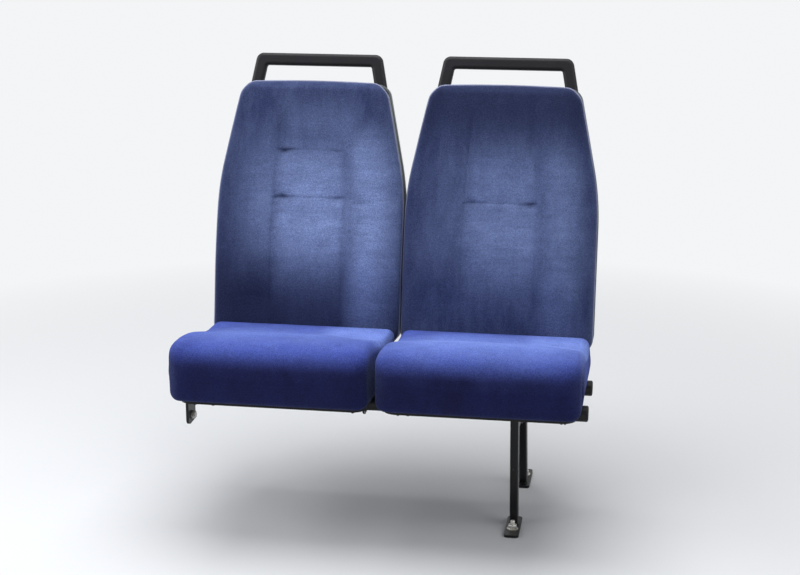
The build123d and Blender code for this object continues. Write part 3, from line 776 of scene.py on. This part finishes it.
def cushion_cover(side):
    """The cushion's profile carried across the seat, with its edges rolled in at both sides."""
    upper, lower = cushion_chains()
    last = len(upper) - 1
    loop = soften_loop(closed_loop(upper, lower), 4)
    normals = inward_normals(loop)
    start_low = last + CAP_ROWS

    def loop_spot(j, k):
        """Index in the loop of a lattice point on its edge."""
        if k == CAP_ROWS:
            return j
        if k == 0:
            return start_low + last - j
        return last + CAP_ROWS - k if j == last else start_low + last + k

    outer_hand = 1 if side == "aisle" else -1
    flat = CUSHION_HALF - CUSHION_ROLL
    turns = [math.pi / 2 * k / 4 for k in range(5)]
    rolled = [(flat + CUSHION_ROLL * math.sin(a), CUSHION_ROLL * (1 - math.cos(a))) for a in turns]
    inner = [(x, 0.0) for x in ticks(-flat, flat, CUSHION_STEP)[1:-1]]
    places = [(-x, sink) for x, sink in reversed(rolled)] + inner + rolled
    spots = []

    def place(i, j, k):
        x, sink = places[i]
        if k in (0, CAP_ROWS) or j in (0, last):
            n = loop_spot(j, k)
            spot = loop[n] + normals[n] * sink
        else:
            high, low = loop_spot(j, CAP_ROWS), loop_spot(j, 0)
            under, over = loop[low] + normals[low] * sink, loop[high] + normals[high] * sink
            spot = under.lerp(over, k / CAP_ROWS)
        across = x / CUSHION_HALF
        if k == CAP_ROWS:
            top = smooth(0.01, 0.06, -spot.x) * (1 - smooth(0.36, 0.39, -spot.x))
            seed = Vector((x * 10 + SEAT_X[side] * 3, spot.x * 10, 8.3))
            uneven = 0.0016 * noise.noise(seed) + 0.0007 * noise.noise(seed * 2.9)
            dish = 0.004 * bump_at(spot.x, -0.15, 0.15) * (1 - smooth(0.3, 0.85, abs(across)))
            raised = 0.003 * (1 - across * across) - dish + uneven
            spot = spot - normals[loop_spot(j, k)] * top * raised
        if abs(across) > 0.999 and 0 < k < CAP_ROWS:
            bulge = OUTER_BULGE if x * outer_hand > 0 else INNER_BULGE
            x += math.copysign(bulge, x) * math.sin(math.pi * k / CAP_ROWS) * smooth(0, 0.05, -spot.x)
        y = spot.x
        zone = (-y - (CUSHION_DEPTH - FRONT_CORNER)) / FRONT_CORNER
        reach = (abs(x) - (CUSHION_HALF - FRONT_CORNER)) / FRONT_CORNER
        if zone > 0 and reach > 0:
            zone, reach = min(zone, 1.0), min(reach, 1.0)
            inset = FRONT_CORNER * (1 - reach * math.sqrt(1 - zone * zone / 2))
            x = math.copysign(CUSHION_HALF - inset, x)
            y = -(CUSHION_DEPTH - FRONT_CORNER * (1 - zone * math.sqrt(1 - reach * reach / 2)))
        spots.append((across, y, spot.y, j, k, sink))
        return Vector((SEAT_X[side] + x, BIGHT.y - CUSHION_CLEAR + y, BIGHT.z + CUSHION_CLEAR + spot.y))

    counts = len(places) - 1, last, CAP_ROWS
    piece, _ = box_shell(
        f"cushion_cover_{side}", counts, place, [cushion_fabric], lambda label, a, b: 0
    )
    held = []
    # Per point: paleness of wear with painted light, and painted shade.
    wear_and_light = []
    painted_shade = []
    for across, y, z, j, k, sink in spots:
        free = (k == CAP_ROWS and j > 4 or j == last and k > 2) and sink == 0
        held.append(0.0 if free else 1.0)
        seat = 1 - smooth(0.45, 1.0, abs(across))
        # Rubbed pale on the seat, with a painted highlight over the crest where sheen falls.
        rubbed_and_lit = bump_at(y, -0.21, 0.237) * mix(0.6, 1.0, seat) * (0.62 if side == "window" else 1.0)
        # Paler towards the aisle end: wear from sliding in, and a painted sheen highlight.
        slid_and_sheen = min(1.0, 1.3 * bump_at(y, -0.13, 0.21) * smooth(0.05, 0.65, across))
        wear_and_light.append(max(rubbed_and_lit, slid_and_sheen) if k == CAP_ROWS else 0.0)
        # Painted shade: darker towards the bottom, and on the front face below the crest.
        shade_amount = mix(smooth(0.0, 0.10, -z), smooth(-0.006, 0.046, CREST.y - z), smooth(0.26, 0.35, -y))
        # Painted shade on the side that faces the other cushion, in the gap between them.
        gap_shade = 0.8 if across * outer_hand < -0.96 else 0.0
        painted_shade.append(max(shade_amount, gap_shade * smooth(-0.03, 0.03, -z)))
    puff(piece, held)
    set_values(piece, "wear_and_light", wear_and_light)
    set_values(piece, "painted_shade", painted_shade)
    subdivide(piece, 1)
    finish_piece(piece, "cushion_fabric", f"seat_cushion_{side}")


for side in SIDES:
    back_cover(side)
    cushion_cover(side)


# Small steel: bolts, nuts, washers and screws, each a few rings of points round an axis
RING_SIDES = 24
THREAD_PITCH, THREAD_DEPTH = 0.0014, 0.0006


class Rings:
    """Collects turned shapes into one mesh."""

    def __init__(self):
        self.points = []
        self.faces = []

    def add(self, origin, axis, profile, hexed=()):
        """Profile rows are (radius, height); rows whose number is in hexed are six-sided."""
        turn = Vector((0, 0, 1)).rotation_difference(Vector(axis)).to_matrix()
        first = len(self.points)
        for row, (radius, height) in enumerate(profile):
            for k in range(RING_SIDES):
                a = 2 * math.pi * k / RING_SIDES
                r = radius
                if row in hexed:
                    r = radius / math.cos((a + math.pi / 6) % (math.pi / 3) - math.pi / 6)
                spot = Vector((r * math.cos(a), r * math.sin(a), height))
                self.points.append(Vector(origin) + turn @ spot)
        for row in range(len(profile) - 1):
            for k in range(RING_SIDES):
                near, far = first + row * RING_SIDES, first + (row + 1) * RING_SIDES
                turned = (k + 1) % RING_SIDES
                self.faces.append((near + k, near + turned, far + turned, far + k))
        end = first + (len(profile) - 1) * RING_SIDES
        self.faces.append(tuple(first + k for k in range(RING_SIDES))[::-1])
        self.faces.append(tuple(end + k for k in range(RING_SIDES)))

    def washer(self, origin, axis, radius, thickness):
        rim = radius - thickness * 0.2
        self.add(origin, axis, [(radius, 0), (radius, thickness * 0.8), (rim, thickness)])

    def hexagon(self, origin, axis, flats, height):
        flat = flats / 2
        self.add(origin, axis, [(flat, 0), (flat, height * 0.82), (flat * 0.93, height)], hexed=(0, 1))

    def stud(self, origin, axis, radius, height):
        """Threaded end: close rings that swell and shrink."""
        profile = []
        for n in range(int(height / THREAD_PITCH)):
            profile += [(radius, n * THREAD_PITCH), (radius - THREAD_DEPTH, (n + 0.5) * THREAD_PITCH)]
        profile.append((radius * 0.7, height))
        self.add(origin, axis, profile)

    def screw(self, origin, axis, radius):
        """Domed head with a socket."""
        self.add(origin, axis, [
            (radius, 0), (radius, 0.0012), (radius * 0.86, 0.0030), (radius * 0.55, 0.0040),
            (radius * 0.42, 0.0040), (radius * 0.38, 0.0018),
        ], hexed=(4, 5))

    def piece(self, name, material, slot):
        made = mesh_object(name, self.points, self.faces, [material])
        for polygon in made.data.polygons:
            polygon.use_smooth = False
        return finish_piece(made, slot)


FLOOR_BOLT_Y = {"front": -0.1615, "rear": 0.1615}
EAR_REARWARD = 0.0295     # bolt through the clamp's ears, behind the tube's middle
EAR_HALF = 0.006          # half the height of both ears and the slit
BRACKET_PLATE = 0.006
WALL_BOLT_UP = 0.045      # bolts above and below the middle of the plate
LOW_SCREW = 0.150, 0.026      # across and height of the shell's screws, in the backrest's own frame
HIGH_SCREW = 0.1487, 0.529
SCREW_SINK = 0.0004
PAN_SCREWS_FORWARD = (0.300, 0.215, 0.075)
PAN_SCREW_INWARD = 0.012
FLANGE_UNDER = 0.007      # underside of the arm's flange below the cushion's underside

TUBES = {}
for place_name in ("front", "rear"):
    low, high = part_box(f"tube_cap_{place_name}")
    TUBES[place_name] = Vector((0, (low[1] + high[1]) / 2, (low[2] + high[2]) / 2))

floor_bolts = Rings()
for place_name, hole_y in FLOOR_BOLT_Y.items():
    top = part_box(f"leg_foot_{place_name}")[1][2]
    floor_bolts.washer((0, hole_y, top), (0, 0, 1), 0.0125, 0.0025)
    floor_bolts.hexagon((0, hole_y, top + 0.0025), (0, 0, 1), 0.017, 0.009)
    floor_bolts.stud((0, hole_y, top + 0.0115), (0, 0, 1), 0.005, 0.009)
floor_bolts.piece("floor_bolts", bolt_steel, "leg_paint")

clamp_bolts = Rings()
for spot in TUBES.values():
    ear = spot + Vector((0, EAR_REARWARD, 0))
    for up in (-1, 1):
        face = ear + Vector((0, 0, up * EAR_HALF))
        clamp_bolts.washer(face, (0, 0, up), 0.008, 0.0016)
        clamp_bolts.hexagon(face + Vector((0, 0, up * 0.0016)), (0, 0, up), 0.013, 0.0055)
    clamp_bolts.stud(ear - Vector((0, 0, EAR_HALF + 0.0071)), (0, 0, -1), 0.004, 0.005)
clamp_bolts.piece("clamp_bolts", bolt_steel, "leg_paint")

wall_bolts = Rings()
for place_name, spot in TUBES.items():
    low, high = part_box(f"wall_bracket_{place_name}")
    for up in (-1, 1):
        face = Vector((low[0] + BRACKET_PLATE, spot.y, (low[2] + high[2]) / 2 + up * WALL_BOLT_UP))
        wall_bolts.washer(face, (1, 0, 0), 0.010, 0.002)
        wall_bolts.hexagon(face + Vector((0.002, 0, 0)), (1, 0, 0), 0.016, 0.0065)
wall_bolts.piece("wall_bolts", bolt_steel, "frame_paint")

shell_screws = Rings()
rearward = Vector((0, math.cos(RECLINE), -math.sin(RECLINE)))
for side in SIDES:
    for x, height in (LOW_SCREW, HIGH_SCREW):
        for hand in (-1, 1):
            crown = SHELL_CROWN_RADIUS - math.sqrt(SHELL_CROWN_RADIUS ** 2 - x * x)
            spot = lean_point(side, hand * x, SHELL_REAR - crown - SCREW_SINK, height)
            shell_screws.washer(spot, rearward, 0.0085, 0.0014)
            shell_screws.screw(spot + rearward * 0.0014, rearward, 0.0062)
shell_screws.piece("shell_screws", bolt_steel, "moulded_shell")

# Weld beads: ropes of uneven thickness along the joints of the frame and the leg
TUBE_RADIUS = 0.0175
ARM_HALF = CUSHION_HALF - 0.041
ARM_FACE = 0.0028         # bead beside the middle of a 4 mm plate
UPRIGHT_X, UPRIGHT_DEPTH = 0.150, 0.064
UPRIGHT_BEAD_RADIUS = 0.0118
REAR_TUBE_BELOW = 0.121   # rear tube's middle below the bight, along the lean
SLEEVE_RADIUS, SLEEVE_END = 0.0226, 0.0345
FOOT_Y = {"front": -0.1215, "rear": 0.1215}
POST_HALF_WIDTH, POST_HALF_DEPTH = 0.009, 0.016
POST_CORNER = 0.005
CLAMP_RADIUS = 0.022
FOOT_TOP = 0.006
BEAD_LIFT = 0.0008        # bead's middle off a tube
POST_BEAD_LIFT = 0.0006
BEAD_STEP = 0.0026
SADDLE_STEPS = 28
GUSSET_STEPS = 22


class Beads:
    """Collects weld beads into one mesh."""

    def __init__(self):
        self.points = []
        self.faces = []

    def add(self, line, radius, closed=True):
        radii = [radius * (0.85 + 0.3 * (k % 2) + 0.25 * random.random()) for k in range(len(line))]
        points, faces = tube_skin(line, radii, closed)
        first = len(self.points)
        self.points += points
        self.faces += [tuple(first + v for v in face) for face in faces]

    def ring(self, centre, radius, bead):
        """Round a tube that runs across the seat."""
        count = round(2 * math.pi * radius / BEAD_STEP)
        turns = [2 * math.pi * k / count for k in range(count)]
        self.add([centre + Vector((0, math.cos(a), math.sin(a))) * radius for a in turns], bead)

    def piece(self, name, material, slot):
        return finish_piece(mesh_object(name, self.points, self.faces, [material]), slot)


def post_outline():
    """Points round a post's section, evenly enough spaced for a bead."""
    points = []
    for quarter, (sx, sy) in enumerate(((1, 1), (-1, 1), (-1, -1), (1, -1))):
        corner = Vector((sx * (POST_HALF_WIDTH - POST_CORNER), sy * (POST_HALF_DEPTH - POST_CORNER)))
        for k in range(4):
            a = math.pi / 2 * (quarter + k / 3)
            points.append(corner + Vector((math.cos(a), math.sin(a))) * POST_CORNER)
    line = []
    for i, point in enumerate(points):
        after = points[(i + 1) % len(points)]
        parts = max(1, round((after - point).length / BEAD_STEP))
        line += [point.lerp(after, k / parts) for k in range(parts)]
    return line


frame_welds = Beads()
for side in SIDES:
    for hand in (-1, 1):
        arm_x = SEAT_X[side] + hand * ARM_HALF
        for spot in TUBES.values():
            for face in (-1, 1):
                centre = Vector((arm_x + face * ARM_FACE, spot.y, spot.z))
                frame_welds.ring(centre, TUBE_RADIUS + BEAD_LIFT, 0.0019)
        saddle = []
        for k in range(SADDLE_STEPS):
            a = 2 * math.pi * k / SADDLE_STEPS
            across, depth = UPRIGHT_BEAD_RADIUS * math.cos(a), UPRIGHT_BEAD_RADIUS * math.sin(a)
            x = hand * UPRIGHT_X + across
            height = math.sqrt((TUBE_RADIUS + BEAD_LIFT) ** 2 - depth ** 2) - REAR_TUBE_BELOW
            saddle.append(lean_point(side, x, UPRIGHT_DEPTH + depth, height))
        frame_welds.add(saddle, 0.0018)
for place_name, spot in TUBES.items():
    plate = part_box(f"wall_bracket_{place_name}")[0][0] + BRACKET_PLATE
    frame_welds.ring(Vector((plate + 0.001, spot.y, spot.z)), SLEEVE_RADIUS, 0.0022)
    frame_welds.ring(Vector((plate + SLEEVE_END, spot.y, spot.z)), TUBE_RADIUS + 0.001, 0.0018)
frame_welds.piece("frame_welds", frame_paint, "frame_paint")

leg_welds = Beads()
gusset_low, gusset_high = (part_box("leg_gusset")[end][2] for end in (0, 1))
for place_name, spot in TUBES.items():
    foot = Vector((0, FOOT_Y[place_name], 0))
    up = (spot - foot).normalized()
    ahead = Vector((0, up.z, -up.y))
    level = []
    saddle = []
    for across, depth in post_outline():
        sideways = Vector((across, 0, 0)) + ahead * depth
        level.append(foot + sideways + up * ((FOOT_TOP + POST_BEAD_LIFT - ahead.z * depth) / up.z))
        below = math.sqrt(CLAMP_RADIUS ** 2 - depth ** 2) + POST_BEAD_LIFT
        saddle.append(spot + sideways - up * below)
    leg_welds.add(level, 0.0020)
    leg_welds.add(saddle, 0.0018)
    inner = POST_HALF_DEPTH * (1 if place_name == "front" else -1)
    for face in (-1, 1):
        line = []
        for k in range(GUSSET_STEPS):
            z = gusset_low + (gusset_high - gusset_low) * (k + 0.5) / GUSSET_STEPS
            along = (z - ahead.z * inner) / up.z
            line.append(foot + ahead * inner + up * along + Vector((face * ARM_FACE, 0, 0)))
        leg_welds.add(line, 0.0016, closed=False)
leg_welds.piece("leg_welds", leg_paint, "leg_paint")

pan_screws = Rings()
turn_back = -SEAT_RAKE
downward = Vector((0, math.sin(turn_back), -math.cos(turn_back)))
for side in SIDES:
    for hand in (-1, 1):
        for forward in PAN_SCREWS_FORWARD:
            y, z = -forward, -FLANGE_UNDER
            spot = Vector((
                SEAT_X[side] + hand * (ARM_HALF - PAN_SCREW_INWARD),
                BIGHT.y + y * math.cos(turn_back) - z * math.sin(turn_back),
                BASE_HEIGHT + y * math.sin(turn_back) + z * math.cos(turn_back),
            ))
            pan_screws.washer(spot, downward, 0.006, 0.0012)
            pan_screws.hexagon(spot + downward * 0.0012, downward, 0.008, 0.0045)
pan_screws.piece("pan_screws", bolt_steel, "frame_paint")


# Stage: pale floor that fades into the backdrop, soft light, and the camera where the photo was taken
MIDDLE = Vector((-0.28, 0.03, 0.49))
BACKDROP = (0.90, 0.91, 0.925)
FADE_START, FADE_END = 0.7, 2.3
FLOOR_RADIUS = 9
SKY_TONE, SKY_STRENGTH = (0.86, 0.89, 0.95), 0.32
LIGHTS = (                # name, place, width and height, power, tone
    ("window_side", (-2.6, -0.9, 1.9), (2.2, 1.6), 50, (0.97, 0.98, 1.0)),
    ("aisle_side", (2.4, -1.1, 2.1), (2.2, 1.6), 22, (1.0, 0.99, 0.97)),
    ("overhead", (-0.3, -0.1, 2.9), (2.6, 2.0), 76, (1.0, 1.0, 1.0)),
)
CAMERA_PLACE = (0.277, -3.4415, 1.450)
PHOTO_WIDTH = 800
FOCAL_PX = 1620           # focal length in pixels of the 800 pixel wide picture
SENSOR_WIDTH = 36


def stage_floor():
    """Pale floor that fades into the backdrop, and that a camera below it sees through."""
    s = Shader("floor")
    s.colour(rgb(214, 215, 217))
    s.rough(0.9)
    far = s.add("ShaderNodeVectorMath", operation="LENGTH")
    s.link(s.place, far.inputs[0])
    fade = s.span(far.outputs["Value"], FADE_START, FADE_END)
    seen = s.add("ShaderNodeLightPath")
    white = s.add("ShaderNodeEmission")
    white.inputs["Color"].default_value = (*BACKDROP, 1)
    choose = s.add("ShaderNodeMixShader")
    rays = s.math("MAXIMUM", seen.outputs["Is Camera Ray"], seen.outputs["Is Glossy Ray"])
    s.link(s.math("MULTIPLY", fade, rays), choose.inputs[0])
    s.link(s.body.outputs[0], choose.inputs[1])
    s.link(white.outputs[0], choose.inputs[2])
    below = s.add("ShaderNodeMixShader")
    clear = s.add("ShaderNodeBsdfTransparent")
    underside = s.add("ShaderNodeNewGeometry").outputs["Backfacing"]
    s.link(s.math("MULTIPLY", underside, seen.outputs["Is Camera Ray"]), below.inputs[0])
    s.link(choose.outputs[0], below.inputs[1])
    s.link(clear.outputs[0], below.inputs[2])
    s.link(below.outputs[0], s.output.inputs[0])
    bpy.ops.mesh.primitive_circle_add(
        vertices=96, radius=FLOOR_RADIUS, fill_type="NGON", location=(MIDDLE.x, 0, 0)
    )
    floor = bpy.context.object
    floor.name = "floor"
    floor.data.materials.append(s.material)


def studio_world():
    """Soft light all round, and the backdrop where the camera or a reflection looks past the floor."""
    world = bpy.data.worlds.new("studio")
    bpy.context.scene.world = world
    world.use_nodes = True
    nodes_of = world.node_tree.nodes
    join = world.node_tree.links.new
    light = nodes_of["Background"]
    light.inputs["Color"].default_value = (*SKY_TONE, 1)
    light.inputs["Strength"].default_value = SKY_STRENGTH
    white = nodes_of.new("ShaderNodeBackground")
    white.inputs["Color"].default_value = (*BACKDROP, 1)
    path = nodes_of.new("ShaderNodeLightPath")
    seen = nodes_of.new("ShaderNodeMath")
    seen.operation = "MAXIMUM"
    choose = nodes_of.new("ShaderNodeMixShader")
    join(path.outputs["Is Camera Ray"], seen.inputs[0])
    join(path.outputs["Is Glossy Ray"], seen.inputs[1])
    join(seen.outputs[0], choose.inputs[0])
    join(light.outputs[0], choose.inputs[1])
    join(white.outputs[0], choose.inputs[2])
    join(choose.outputs[0], nodes_of["World Output"].inputs[0])


def area_light(name, place, size, power, tone):
    data = bpy.data.lights.new(name, "AREA")
    data.shape = "RECTANGLE"
    data.size, data.size_y = size
    data.energy = power
    data.color = tone
    lamp = bpy.data.objects.new(name, data)
    lamp.location = place
    lamp.rotation_euler = (MIDDLE - Vector(place)).to_track_quat("-Z", "Y").to_euler()
    bpy.context.scene.collection.objects.link(lamp)


def photo_camera():
    """Stands where the photograph was taken, but looks at the seat and closer in."""
    data = bpy.data.cameras.new("camera")
    data.sensor_width = SENSOR_WIDTH
    data.lens = FOCAL_PX / PHOTO_WIDTH * SENSOR_WIDTH
    camera = bpy.data.objects.new("camera", data)
    camera.location = CAMERA_PLACE
    camera.rotation_euler = (MIDDLE - camera.location).to_track_quat("-Z", "Y").to_euler()
    bpy.context.scene.collection.objects.link(camera)
    bpy.context.scene.camera = camera


stage_floor()
studio_world()
for light in LIGHTS:
    area_light(*light)
photo_camera()
bpy.context.scene.view_settings.view_transform = "Standard"
